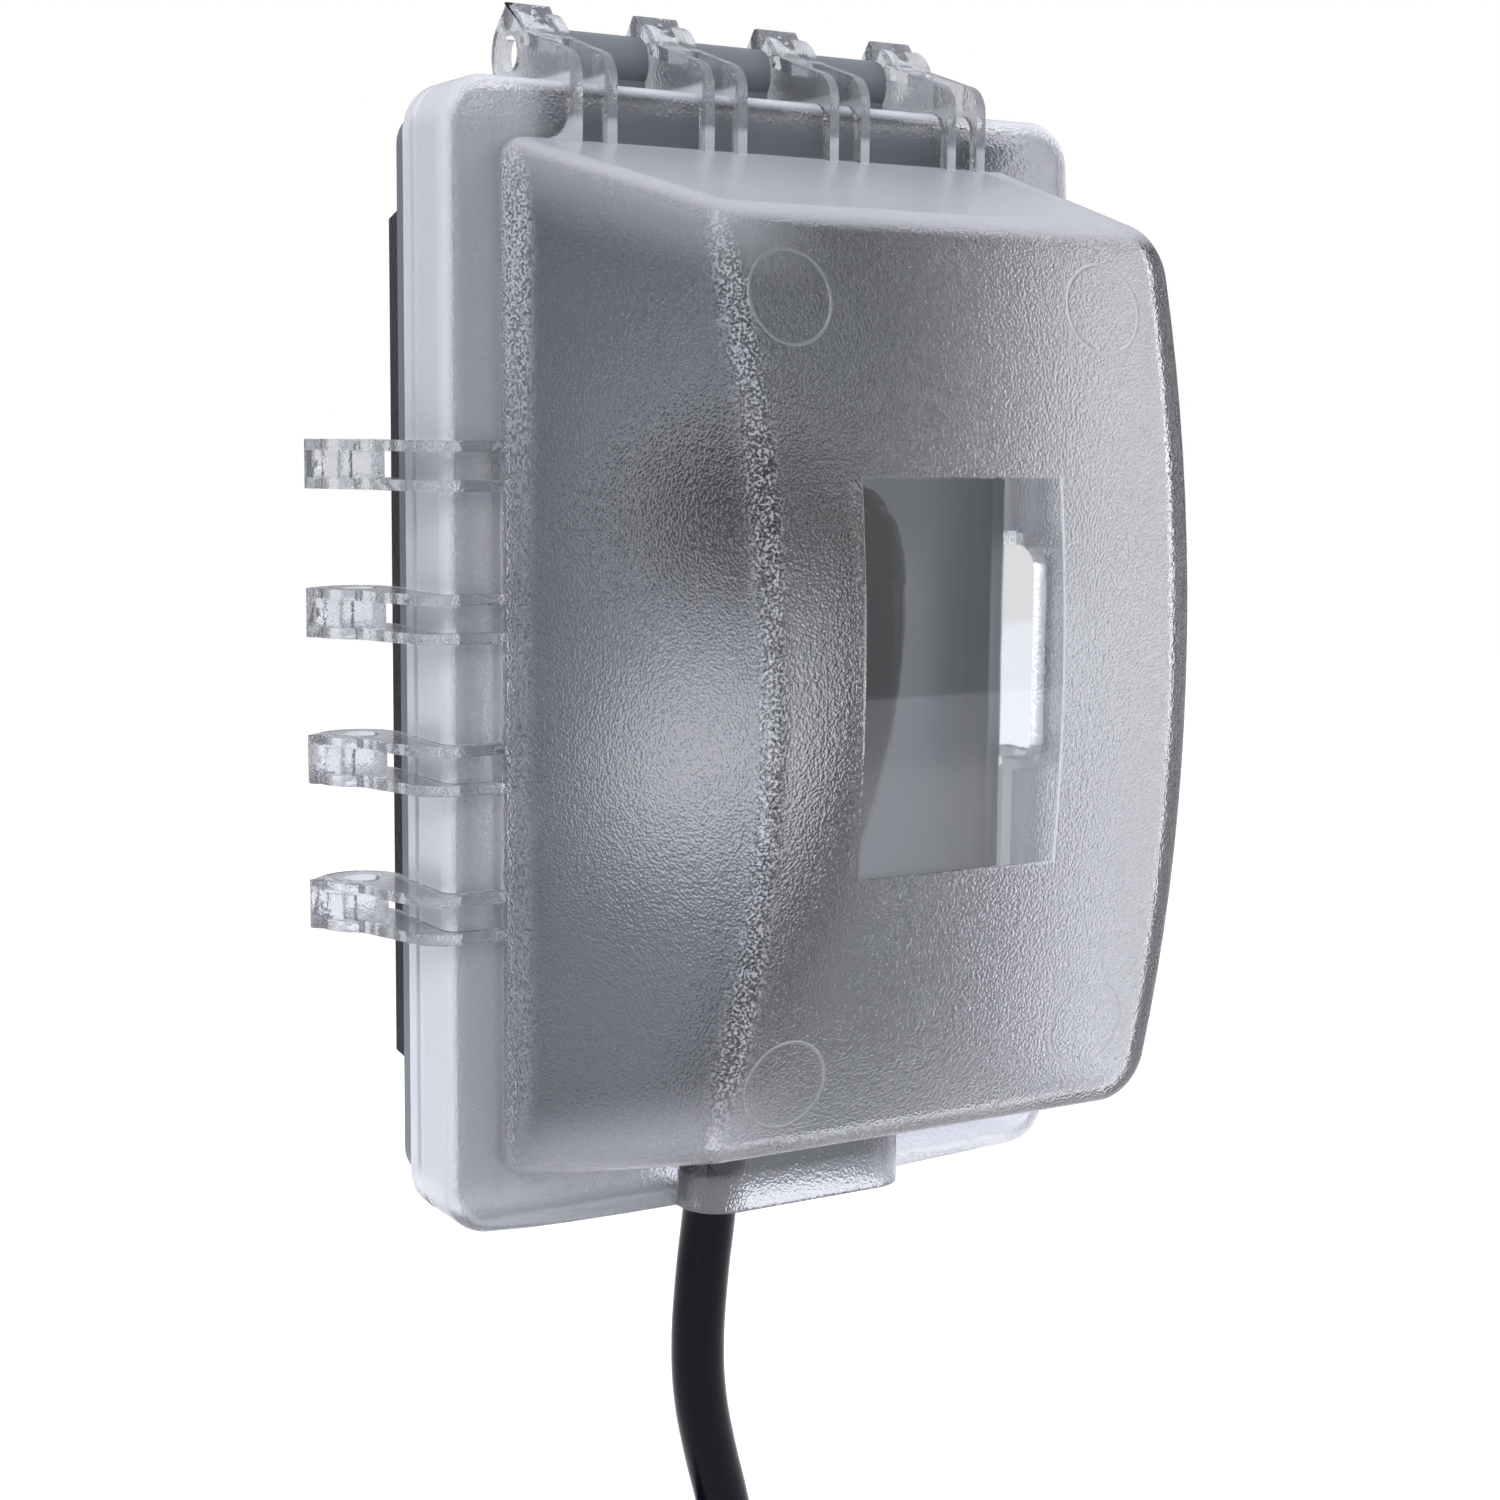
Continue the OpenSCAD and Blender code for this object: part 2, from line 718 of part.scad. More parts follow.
// The cord leaves the plug, bends down, swings back under the dome and hangs. Its plane leans a little to the left.
module cord() {
    swing = 36;
    swing_r = 27;
    drop = 22;
    back = hang_y - (sleeve_end - bend_r);
    run = (back - 2 * swing_r * (1 - cos(swing))) / sin(swing);
    low = outlet_z - bend_r - drop - 2 * swing_r * sin(swing) - run * cos(swing);
    seat = bundle_r * bundle_r - pow(coil_y + hang_y + cord_r, 2);
    hang = low - (coil_z + coil_r + sqrt(seat) + 0.5);
    color([0.13, 0.14, 0.16]) translate([0, sleeve_end + 4.3, outlet_z]) rotate([0, 5.6, 0]) rotate([90, 0, 0]) {
        bent_rod([
            [0, 4.3, 0],
            [bend_r, 90, -90],
            [0, drop, 0],
            [swing_r, swing, 0],
            [0, run, 0],
            [swing_r, swing, 180],
            [0, hang, 0]
        ], cord_r);
    }
}

module cord_coil() {
    color([0.13, 0.14, 0.16]) {
        translate([coil_x, -coil_y, coil_z]) rotate([90, 0, 0]) rotate_extrude() {
            translate([coil_r, 0]) circle(bundle_r);
        }
        translate([coil_x - connector_out, -coil_y, coil_z - connector_drop - 8]) {
            cylinder(h = connector_drop + 12, r = cord_r);
        }
    }
}

// A strap round the bundle at the top of the coil.
module coil_tie() {
    color([0.1, 0.1, 0.11]) translate([coil_x + coil_r * sin(35), -coil_y, coil_z + coil_r * cos(35)]) {
        rotate([0, 35, 0]) rotate([0, 90, 0]) difference() {
            cylinder(h = 8, r = bundle_r + 1.6, center = true);
            cylinder(h = 10, r = bundle_r + 0.3, center = true);
        }
    }
}

module connector_body() {
    color([0.14, 0.15, 0.17]) translate([coil_x - connector_out, -coil_y, coil_z - connector_drop]) {
        difference() {
            union() {
                translate([0, 0, -14]) cylinder(h = 14, r1 = 7.5, r2 = 5.4);
                translate([0, 0, -14 - connector_l]) cylinder(h = connector_l, r = connector_r);
            }
            translate([0, 0, -8.3]) cylinder(h = 20, r = cord_r + 0.3);
            translate([0, 0, -15 - connector_l]) linear_extrude(height = 19) {
                blade_slots(0.4);
                translate([0, -ground_hole_y]) circle(ground_hole_r);
            }
        }
    }
}

lid();
base();
gasket();
hinge_bar();
hinge_screws();
insert_plate();
plate_screw();
box_screws();
outlet_face();
outlet_back();
mounting_strap();
hot_screws();
neutral_screws();
ground_screw();
plug_body();
plug_blades();
plug_ground_pin();
cord();
cord_coil();
coil_tie();
connector_body();
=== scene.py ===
# %% [markdown]
# # In-use cover for an outdoor wall outlet
# A clear, frosted lid hangs on a grey base with a foam gasket. A cord is plugged in behind the lid and leaves
# through a hood in its lower edge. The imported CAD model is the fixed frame: every piece goes where it says.

import json
import math
from types import SimpleNamespace

import bpy
from mathutils import Matrix, Vector


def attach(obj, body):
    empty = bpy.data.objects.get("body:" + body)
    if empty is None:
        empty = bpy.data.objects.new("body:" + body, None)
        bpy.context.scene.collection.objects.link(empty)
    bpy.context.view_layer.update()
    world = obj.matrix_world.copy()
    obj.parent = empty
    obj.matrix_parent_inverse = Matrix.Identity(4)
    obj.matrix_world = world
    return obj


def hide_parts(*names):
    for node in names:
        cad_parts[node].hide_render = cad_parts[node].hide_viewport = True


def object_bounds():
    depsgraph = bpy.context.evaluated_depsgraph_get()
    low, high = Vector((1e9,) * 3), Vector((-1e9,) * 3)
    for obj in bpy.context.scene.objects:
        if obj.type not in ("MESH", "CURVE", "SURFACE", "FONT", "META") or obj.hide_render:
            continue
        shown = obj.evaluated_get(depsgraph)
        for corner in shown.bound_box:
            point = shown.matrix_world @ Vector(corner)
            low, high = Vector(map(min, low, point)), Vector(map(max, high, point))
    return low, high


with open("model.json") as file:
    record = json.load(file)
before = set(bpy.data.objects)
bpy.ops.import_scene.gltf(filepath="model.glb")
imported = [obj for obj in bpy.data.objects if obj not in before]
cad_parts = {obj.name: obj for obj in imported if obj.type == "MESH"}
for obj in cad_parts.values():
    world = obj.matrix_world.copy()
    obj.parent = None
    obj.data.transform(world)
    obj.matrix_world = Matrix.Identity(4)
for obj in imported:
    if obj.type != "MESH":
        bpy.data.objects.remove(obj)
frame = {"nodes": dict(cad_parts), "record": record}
nodes = frame["nodes"]
cad_low, cad_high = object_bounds()
print("CAD box", [round(v, 4) for v in cad_low], [round(v, 4) for v in cad_high])

# %% [markdown]
# ## Camera
# The photograph is taken from the left, a little above the cover's middle and from close by, so its lines run
# together strongly. A camera placed by eye would not give that. Its place, turn and lens were worked out from
# the lid's corners and hinge fingers in the photograph, and are written here as numbers.

# %% Camera
photo_lens, photo_place = 59.26, (-0.1885, -0.3327, 0.0307)
yaw, pitch, roll = math.radians(30.97), math.radians(7.32), math.radians(0.54)
forward = Vector((math.sin(yaw) * math.cos(pitch), math.cos(yaw) * math.cos(pitch), -math.sin(pitch)))
level_right = Vector((math.cos(yaw), -math.sin(yaw), 0))
level_up = level_right.cross(forward)
camera_right = math.cos(roll) * level_right + math.sin(roll) * level_up
camera_up = math.cos(roll) * level_up - math.sin(roll) * level_right

camera_data = bpy.data.cameras.new("photo_camera")
camera_data.sensor_width = 36
camera_data.lens = photo_lens
camera_data.dof.use_dof = False
camera = bpy.data.objects.new("photo_camera", camera_data)
bpy.context.scene.collection.objects.link(camera)
turn = Matrix((camera_right, camera_up, -forward)).transposed()
camera.matrix_world = Matrix.Translation(photo_place) @ turn.to_4x4()
bpy.context.scene.camera = camera
print("camera at", [round(v, 4) for v in camera.location], "lens", camera_data.lens)

# %% [markdown]
# ## Cord
# An outdoor cord has a round jacket of about 8 mm. It leaves the plug forwards, bends down at once, swings back
# under the lid and hangs straight down through the hood. It could be a swept profile in the CAD, but a spline
# through measured points gives the soft curve that a stiff cord takes. The part below the picture is put away in
# a neat round coil: five turns in two layers, each a diameter from the next, and the connector hangs beside it.

# %% Cord route
mm = 0.001
cord_d = 8.0
jacket_route = [
    (0, -41.4, 19.3), (0, -44.6, 18.9), (0, -47.6, 16.9), (0, -49.8, 13.3), (-0.1, -50.9, 9), (-0.4, -51.5, 3),
    (-1.3, -51.7, -5), (-3.0, -51.5, -13), (-5.0, -50.8, -21), (-7.3, -49.2, -29.5), (-9.4, -46.7, -38),
    (-11.0, -43.6, -46), (-11.9, -39.6, -54), (-12.1, -35.2, -61.5), (-11.6, -30.8, -69), (-10.8, -27.2, -76.5),
    (-10.1, -24.9, -84), (-10.9, -24.1, -95), (-11.4, -24, -105), (-10.9, -24, -113), (-9.2, -24, -121.5),
    (-6.9, -24, -130.4),
]
ring_x, ring_y, ring_z = -6.0, -12.5, -196.0
# Slots of the bundle: distance from the ring's middle, and forward of the bundle's middle
slots = [(42, 3.5), (38, -3.5), (46, -3.5), (54, -3.5), (50, 3.5), (58.5, 3.5)]
swing_in = [(-5.2, -24, -139), (-6.4, -23.8, -148), (-11.5, -23.2, -157), (-20.5, -21.6, -166), (-31.5, -19.3, -174.5)]


def eased(t):
    """0 before 0, 1 after 1, and a soft step between them."""
    t = min(max(t, 0.0), 1.0)
    return t * t * (3 - 2 * t)


def coil_points():
    """Five turns that start and end at the ring's left side, going down. Each moves one slot on near the top."""
    points, per_turn = [], 26
    for turn_number in range(len(slots) - 1):
        here, after = slots[turn_number], slots[turn_number + 1]
        for k in range(per_turn):
            share = k / per_turn
            step = eased((share - 0.68) / 0.32)
            radius = here[0] + (after[0] - here[0]) * step
            front = here[1] + (after[1] - here[1]) * step
            angle = math.pi + 2 * math.pi * share
            if turn_number == 0 and k < 2:
                continue
            points.append((ring_x + radius * math.cos(angle), ring_y - front, ring_z + radius * math.sin(angle)))
    return points


tail_x = ring_x - slots[-1][0]
tail = [(tail_x, -16, ring_z), (tail_x, -15.4, ring_z - 12), (tail_x, -14.6, ring_z - 22),
        (tail_x, -14.5, ring_z - 30)]
cord_route = jacket_route + swing_in + coil_points() + tail

# %% [markdown]
# ## Cord curve
# A swept mesh would fix the roundness. An open Bezier spline keeps the centre line as one curve, which can be
# measured, and gives the tube its thickness at each point.

# %% Cord curve
def tube_curve(name, points, radius, radii=None, sides=10, resolution=5):
    """A round tube along a smooth spline, with its points in millimetres."""
    data = bpy.data.curves.new(name, "CURVE")
    data.dimensions = "3D"
    data.bevel_depth = 1.0
    data.bevel_resolution = sides
    data.resolution_u = resolution
    data.use_fill_caps = True
    spline = data.splines.new("BEZIER")
    spline.bezier_points.add(len(points) - 1)
    for i, (place, knot) in enumerate(zip(points, spline.bezier_points)):
        knot.co = Vector(place) * mm
        knot.handle_left_type = knot.handle_right_type = "AUTO"
        knot.radius = (radius if radii is None else radii[i]) * mm
    piece = bpy.data.objects.new(name, data)
    bpy.context.scene.collection.objects.link(piece)
    return piece


cord = tube_curve("cord_lead", cord_route, cord_d / 2)
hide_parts("cord", "cord_coil")
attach(cord, "cover")
print("cord made")

# %% [markdown]
# ## Strain relief
# The moulded sleeve behind the plug tapers down to the cord and is ringed with grooves, so that it bends with it.
# A lathe turning would be straight, so the same spline is used, with a radius at each point: thick at the plug,
# thin at the end, and a dip at each groove.

# %% Strain relief
def along(points, step):
    """Points every step millimetres along a route of straight pieces."""
    out, left = [Vector(points[0])], step
    for a, b in zip(points, points[1:]):
        a, b = Vector(a), Vector(b)
        gone = 0.0
        while (b - a).length - gone >= left:
            gone += left
            out.append(a.lerp(b, gone / (b - a).length))
            left = step
        left -= (b - a).length - gone
    return out


sleeve_step, sleeve_rings, thick_r, taper, groove_depth = 0.7, 34, 6.2, 1.95, 0.5
sleeve_route = along([(0, -33, 19.05)] + jacket_route[:9], sleeve_step)[:sleeve_rings]
sleeve_radii = []
for i, place in enumerate(sleeve_route):
    t = i / (len(sleeve_route) - 1)
    groove = groove_depth if 3 < i < 24 and i % 5 in (0, 1) else 0.0
    sleeve_radii.append(thick_r - taper * t ** 0.8 - groove)
relief = tube_curve("plug_relief", sleeve_route, thick_r, sleeve_radii, sides=8, resolution=2)
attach(relief, "cover")
print("relief points", len(sleeve_route))

# %% [markdown]
# ## Materials as sums
# A finish is a few lines of arithmetic: a mask, a noise, a mix of two colours. Wiring that by hand hides it in
# nodes, so a small class stands for a socket, and each sum or product on it adds a Math node.

# %% A socket that can be added and multiplied
class Value:
    """An output socket of a finish's node tree. Sums and products on it add Math nodes."""

    def __init__(self, finish, socket):
        self.finish, self.socket = finish, socket

    def maths(self, operation, *values):
        return self.finish.node("ShaderNodeMath", {"operation": operation}, dict(enumerate(values)))

    def __add__(self, other):
        return self.maths("ADD", self, other)

    def __sub__(self, other):
        return self.maths("SUBTRACT", self, other)

    def __rsub__(self, other):
        return self.maths("SUBTRACT", other, self)

    def __mul__(self, other):
        return self.maths("MULTIPLY", self, other)

    def __pow__(self, other):
        return self.maths("POWER", self, other)

    __radd__, __rmul__ = __add__, __mul__

    def size(self):
        return self.maths("ABSOLUTE", self)

    def most(self, other):
        return self.maths("MAXIMUM", self, other)

    def step(self, low, high):
        """0 below low and 1 above high, with a soft step between them. High may be the lower one."""
        return self.finish.node("ShaderNodeMapRange", {"interpolation_type": "SMOOTHSTEP"},
                                {"Value": self, "From Min": low, "From Max": high})


print("sockets can be added")

# %% [markdown]
# ## One class for a finish
# Every real surface here is one material: plastic, foam or metal. One method makes any node from its type, its
# settings and the values of its sockets, and short methods name the few nodes that are used again and again.

# %% A finish
class Finish:
    """One material, built from nodes."""

    def __init__(self, name):
        self.material = bpy.data.materials.new(name)
        self.material.use_nodes = True
        self.tree = self.material.node_tree
        self.tree.nodes.clear()
        place = self.tree.nodes.new("ShaderNodeTexCoord")
        self.place = Value(self, place.outputs["Object"])

    def node(self, kind, settings, sockets, output=0):
        made = self.tree.nodes.new(kind)
        for key, value in settings.items():
            setattr(made, key, value)
        for key, value in sockets.items():
            socket = made.inputs[key]
            if isinstance(value, Value):
                self.tree.links.new(value.socket, socket)
            else:
                socket.default_value = value
        return Value(self, made.outputs[output])

    def axes(self):
        """The three Object coordinates, in metres."""
        split = self.node("ShaderNodeSeparateXYZ", {}, {"Vector": self.place}).socket.node
        return [Value(self, split.outputs[i]) for i in range(3)]

    def noise(self, scale, detail=2.0, rough=0.5, stretch=None):
        where = self.place
        if stretch is not None:
            where = self.node("ShaderNodeMapping", {}, {"Vector": self.place, "Scale": stretch})
        return self.node("ShaderNodeTexNoise", {}, {"Vector": where, "Scale": scale, "Detail": detail,
                                                   "Roughness": rough})

    def cells(self, scale):
        return self.node("ShaderNodeTexVoronoi", {}, {"Vector": self.place, "Scale": scale})

    def ray(self, kind):
        """1 for a ray of this kind, 0 for others."""
        return self.node("ShaderNodeLightPath", {}, {}, output=kind)

    def mix(self, share, first, second):
        """first where share is 0, second where it is 1. Both are colours."""
        return self.node("ShaderNodeMix", {"data_type": "RGBA"}, {0: share, 6: first, 7: second}, output=2)

    def bump(self, height, strength=1.0, depth=0.0001):
        return self.node("ShaderNodeBump", {}, {"Height": height, "Strength": strength, "Distance": depth})

    def output(self, shader):
        """Shows a shader on the surface, and gives the finished material."""
        made = self.tree.nodes.new("ShaderNodeOutputMaterial")
        self.tree.links.new(shader.socket, made.inputs["Surface"])
        return self.material

    def surface(self, sockets):
        return self.output(self.node("ShaderNodeBsdfPrincipled", {}, sockets))


def shade(red, green, blue):
    """A colour as it shows on screen, 0 to 255, as the linear one that a shader takes."""
    return tuple((v / 255 / 12.92) if v < 11 else ((v / 255 + 0.055) / 1.055) ** 2.4
                 for v in (red, green, blue)) + (1.0,)


print("finish tools ready")

# %% [markdown]
# ## Where the lid differs from place to place
# The lid is one clear moulding. The outside of its mould was etched, which leaves a fine pebble on the dome and
# the flange, and polished in a window at the front. Four round pins of the mould left thin rings in the front.
# Painted masks would do, but sums on the Object coordinates are sharp at any size and need no image.

# %% Places on the lid
# The lid's form in millimetres, from the CAD: half its width and height, its corners' radius, its middle's height,
# the flange's front plane, and the dome's left foot
half_w, half_h, corner_r, mid_z, flange_y = 52.3, 80.0, 7.0, -2.0, -26.0
foot_x, step_y = -44.4, -28.0
pin_r = 0.0061
pins = ((-0.0200, 0.0480), (0.0307, 0.0480), (-0.0193, -0.0554), (0.0307, -0.0528))


def near(value, middle, reach, core):
    """1 within core of the middle, 0 beyond reach, and soft between them."""
    return (value - middle).size().step(reach, core)


def mould_rings(x, y, z):
    """Thin rings on the front, where the mould's pins stood."""
    rings = None
    for pin_x, pin_z in pins:
        dx, dz = x - pin_x, z - pin_z
        ring = near((dx * dx + dz * dz) ** 0.5, pin_r, 0.0003, 0.0001)
        rings = ring if rings is None else rings.most(ring)
    return rings * y.step(-0.055, -0.056)


def lid_places(f):
    """Soft masks from 0 to 1 for the places on the lid that differ, and the three coordinates."""
    x, y, z = f.axes()
    at = SimpleNamespace(x=x, y=y, z=z, rings=mould_rings(x, y, z))
    # Distance beyond the middles of the outline's rounded corners
    past_x = (x.size() - (half_w - corner_r) * mm).most(0.0)
    past_z = ((z - mid_z * mm).size() - (half_h - corner_r) * mm).most(0.0)
    at.off = (past_x * past_x + past_z * past_z) ** 0.5
    at.dome = y.step(-0.0262, -0.0268)
    at.flange = near(y, flange_y * mm, 0.0008, 0.0003)
    at.groove = at.flange * near(x, -0.0451, 0.0008, 0.0004) * near(z, mid_z * mm, 0.075, 0.073)
    at.window = near(x, 0.0047, 0.0166, 0.0160) * near(z, -0.0013, 0.0268, 0.0262) * y.step(-0.056, -0.057)
    at.frost = ((1 - at.window) * y.step(-0.0225, -0.0245)).most(y.step(-0.0235, -0.0215) * 0.35)
    # From in front, the ridge between the sloped wall and the front panel is a parabola
    bow = z + 0.0032
    past_ridge = x + bow * bow * 1.07 + 0.0258
    at.ridge = near(past_ridge, 0.0008, 0.0030, 0.0006) * y.step(-0.052, -0.056)
    at.front = past_ridge.step(0.0, 0.0030) * y.step(-0.050, -0.055)
    # Fingers, knuckles, ribs and hoods, and the flange's lowest edge between them
    at.limbs = at.off.step(0.0074, 0.0082).most(y.step(-0.0266, -0.0272) * at.off.step(0.0010, 0.0020))
    at.low_edge = z.step(-0.0770, -0.0790) * (1 - at.limbs)
    return at


print("places on the lid", len(pins), "rings, outline", 2 * half_w, "by", 2 * half_h)

# %% [markdown]
# ## The lid's colour: tinted plastic and painted light
# Thick clear plastic takes a little light, more where it is seen edge-on, as on the fingers and hoods. Each place
# has its colour, mixed in by its mask. The front is darker, partly because the plastic takes light and partly as
# painted shade that stands for the dark plug behind it, most at its upper left, less at its lower left. The sloped
# wall is lavender, a painted reflection of the bluish studio light. The groove by the dome's foot gets painted
# shade, and the glittering ridge painted dark specks. The polished window is darker at its right, and the lowest
# edge at the left is dark grey.

# %% Lid's colour with painted light
def lid_tint_and_painted_light(f, at, speck):
    # Painted shade on the front's left, full at the top and weaker at the bottom, for the dark plug seen through it
    shaded = at.z.step(0.0, 0.045).most(at.z.step(-0.010, -0.050) * 0.4) * at.front * at.x.step(0.016, -0.010)
    # Painted shade in the groove by the dome's foot, and painted dark specks on the ridge
    dark = at.groove.most(at.ridge * speck.step(0.54, 0.42)) * 0.8
    # The front darker, partly plastic that takes light and partly painted shade; the sloped wall lavender as a painted
    # reflection
    frost_colour_and_painted_light = f.mix(at.front, shade(220, 220, 229), shade(207, 207, 208))
    frost_colour_and_painted_light = f.mix(shaded, frost_colour_and_painted_light, shade(150, 152, 157))
    frost_colour_and_painted_light = f.mix(dark, frost_colour_and_painted_light, shade(66, 68, 76))
    polished = f.mix(at.window * at.x.step(0.0080, 0.0100), shade(252, 253, 254), shade(197, 198, 200))
    tint_and_painted_light = f.mix(at.frost, polished, frost_colour_and_painted_light)
    tint_and_painted_light = f.mix(at.limbs, tint_and_painted_light, shade(172, 174, 180))
    return f.mix(at.low_edge * at.x.step(0.0, -0.008), tint_and_painted_light, shade(42, 46, 50))


print("tint ready")

# %% [markdown]
# ## Milky plastic and painted light on the lid
# The rim, the flange at the left and bottom, and the lid's fingers and hoods are milky, which clear plastic alone
# doesn't give, so a paler, cloudy shader is mixed in there. The same shader paints light: on the dome's top wall,
# which catches light from above, as a painted glow along the dome's top and bottom edges, and as painted glints
# in specks on the ridge and beside the foot. The mould's faint rings and mark get a little of it too.

# %% Milky parts and painted light
def lid_haze_and_painted_light(at, speck):
    x, z = at.x, at.z
    rim = at.off.step(0.0050, 0.0066) * (1 - at.low_edge * 0.75) * 0.72
    plain = x.step(-0.036, -0.042).most(z.step(-0.068, -0.076)) * at.flange * 0.3
    # Height of the dome's top wall, which slopes down to the front. The bottom wall mirrors it
    roof = (at.y - flange_y * mm) * 0.325 + 0.0700
    near_edge = (z - roof).most(2 * mid_z * mm - z - roof)
    # Painted light on the top wall, which faces the light from above, and a painted glow along the dome's top and
    # bottom edges at the left
    top_wall = (z - roof).step(-0.0028, -0.0004) * 0.5
    glow = near_edge.step(-0.0110, -0.0010) * x.step(-0.012, -0.030) * 0.26
    # Painted glints in specks beside the dome's foot and on the ridge
    foot = x.step(-0.0418, -0.0432) * (0.2 + z.step(0.01, 0.06) * 0.3) * speck.step(0.35, 0.60)
    glints = at.ridge * speck.step(0.50, 0.62) * 0.36
    # A faint rectangle on the flange, low at the left, where the mould had an insert
    past_x, past_z = (x + 0.0259).size() - 0.0043, (z + 0.0767).size() - 0.0023
    mark = at.flange * near(past_x.most(past_z), 0.0, 0.0003, 0.0001)
    haze_and_painted_light = rim.most(plain) * (1 - at.limbs) + at.limbs * 0.15
    haze_and_painted_light = haze_and_painted_light.most(top_wall.most(glow).most(foot) * at.dome * at.off.step(0.003, 0.001))
    return haze_and_painted_light.most(glints).most(at.rings.most(mark) * 0.11)


print("haze ready")

# %% [markdown]
# ## Frosted and polished plastic
# The pebble bends light like many small lenses, so that what lies behind it breaks up into specks. A rough gloss
# would only blur it, so the pebble is a steep bump from two noises over an almost smooth surface. The inner faces
# come from the polished core of the mould and are smooth.

# %% Lid's plastic
plastic_ior = 1.58


def lid_plastic():
    f = Finish("frosted_clear_plastic")
    at = lid_places(f)
    grain, pebble, speck = f.noise(2600, 1.0, 0.5), f.noise(1300, 1.0, 0.5), f.noise(2500, 1.0, 0.5)
    clear = f.node("ShaderNodeBsdfPrincipled", {}, {
        "Base Color": lid_tint_and_painted_light(f, at, speck),
        "Roughness": 0.03 + at.frost * 0.17 + at.rings * 0.3,
        "IOR": plastic_ior,
        "Transmission Weight": 1.0,
        "Normal": f.bump(at.frost * (grain + pebble * 0.55) + at.rings * 0.6, 1.0, 0.0002),
    })
    # A pale, cloudy shader: milky plastic where the lid is milky, and painted light where the mask puts it on the dome
    # and ridge
    milky = f.node("ShaderNodeBsdfPrincipled", {}, {
        "Base Color": shade(240, 241, 245),
        "Roughness": 0.22,
        "IOR": plastic_ior,
        "Transmission Weight": 0.1,
        "Normal": f.bump(grain, 0.3, 0.00004),
    })
    return f.output(f.node("ShaderNodeMixShader", {}, {0: lid_haze_and_painted_light(at, speck), 1: clear, 2: milky}))


def polished_plastic():
    """The inner faces, from the polished core of the mould."""
    f = Finish("polished_clear_plastic")
    ripple = f.noise(60, 2.0, 0.5)
    return f.surface({
        "Base Color": f.mix(ripple, shade(250, 251, 253), shade(253, 254, 255)),
        "Roughness": 0.03 + ripple * 0.02,
        "IOR": plastic_ior,
        "Transmission Weight": 1.0,
        "Normal": f.bump(ripple, 0.1, 0.0002),
    })


clear_plastic, core_plastic = lid_plastic(), polished_plastic()
print("nodes in the lid's plastic", len(clear_plastic.node_tree.nodes))

# %% [markdown]
# ## Moulded plastics, foam, metals and cord jacket
# The opaque pieces are coloured plastic with a fine mould texture, so a small noise bump and a slightly uneven
# gloss are enough. Foam has open cells, which a cell pattern gives. Metals are smooth with faint drawn lines.

# %% Opaque finishes
def moulded(name, colour, rough=0.45, grain=1400, depth=0.00005, variation=0.06, coat=0.0, sheen=0.5):
    f = Finish(name)
    cloud = f.noise(35, 3.0, 0.6)
    fine = f.noise(grain, 2.0, 0.6)
    darker = tuple(v * (1 - variation) for v in colour[:3]) + (1.0,)
    lighter = tuple(min(v * (1 + variation), 1.0) for v in colour[:3]) + (1.0,)
    return f.surface({
        "Base Color": f.mix(cloud, darker, lighter),
        "Roughness": rough - 0.05 + fine * 0.1,
        "Specular IOR Level": sheen,
        "Coat Weight": coat,
        "Coat Roughness": 0.15,
        "Normal": f.bump(fine, 0.35, depth),
    })


def foam():
    f = Finish("closed_cell_foam")
    cell = f.cells(1500)
    cloud = f.noise(300, 3.0, 0.6)
    return f.surface({
        "Base Color": f.mix(cell * 1.6, shade(24, 25, 27), shade(46, 47, 50)),
        "Roughness": 0.85 + cloud * 0.1,
        "Normal": f.bump(cell + cloud * 0.5, 0.7, 0.0002),
    })


def metal(name, colour, rough=0.28, lines=(60, 60, 4000)):
    f = Finish(name)
    drawn = f.noise(1.0, 2.0, 0.5, stretch=lines)
    cloud = f.noise(120, 3.0, 0.6)
    darker = tuple(v * 0.86 for v in colour[:3]) + (1.0,)
    return f.surface({
        "Base Color": f.mix(cloud, darker, colour),
        "Metallic": 1.0,
        "Roughness": rough + drawn * 0.12,
        "Normal": f.bump(drawn, 0.15, 0.00003),
    })


print("opaque finishes ready")

# %% [markdown]
# ## Finishes of all pieces
# The record gives each piece a slot. A colour picked from a photograph also holds its light, so the colours of
# the pieces that show were changed until a render looked like it. Hidden pieces have the usual colours.

# %% Finishes of all pieces
finishes = {
    "grey_plastic": moulded("grey_moulded_plastic", shade(108, 114, 119), 0.42),
    "foam": foam(),
    "screw_steel": metal("zinc_plated_steel", shade(205, 208, 212)),
    "insert_plastic": moulded("grey_insert_plastic", shade(150, 154, 158), 0.4),
    "outlet_plastic": moulded("white_outlet_plastic", shade(248, 248, 245), 0.3, coat=0.2),
    "outlet_back_plastic": moulded("ivory_housing_plastic", shade(214, 212, 204), 0.5),
    "strap_steel": metal("galvanised_strap_steel", shade(190, 192, 190), 0.35, lines=(2500, 60, 60)),
    "brass": metal("brass", shade(214, 178, 104), 0.25),
    "green_screw": metal("green_dyed_steel", shade(60, 140, 84), 0.35),
    "black_moulding": moulded("black_vinyl_moulding", shade(10, 11, 17), 0.4, sheen=0.1),
    "cord_jacket": moulded("black_vinyl_jacket", shade(8, 10, 17), 0.22, grain=900, sheen=0.1),
    "tie": moulded("black_hook_and_loop", shade(28, 28, 31), 0.9, grain=2600, depth=0.0003),
    "clear_lid": clear_plastic,
}
slot_of = {part["node"]: part["material_slot"] for part in frame["record"]["subparts"]}
for name, node in nodes.items():
    node.data.materials.clear()
    node.data.materials.append(finishes[slot_of[name]])
for piece, slot_name in ((cord, "cord_jacket"), (relief, "black_moulding")):
    piece.data.materials.append(finishes[slot_name])
print("finishes", len(finishes))

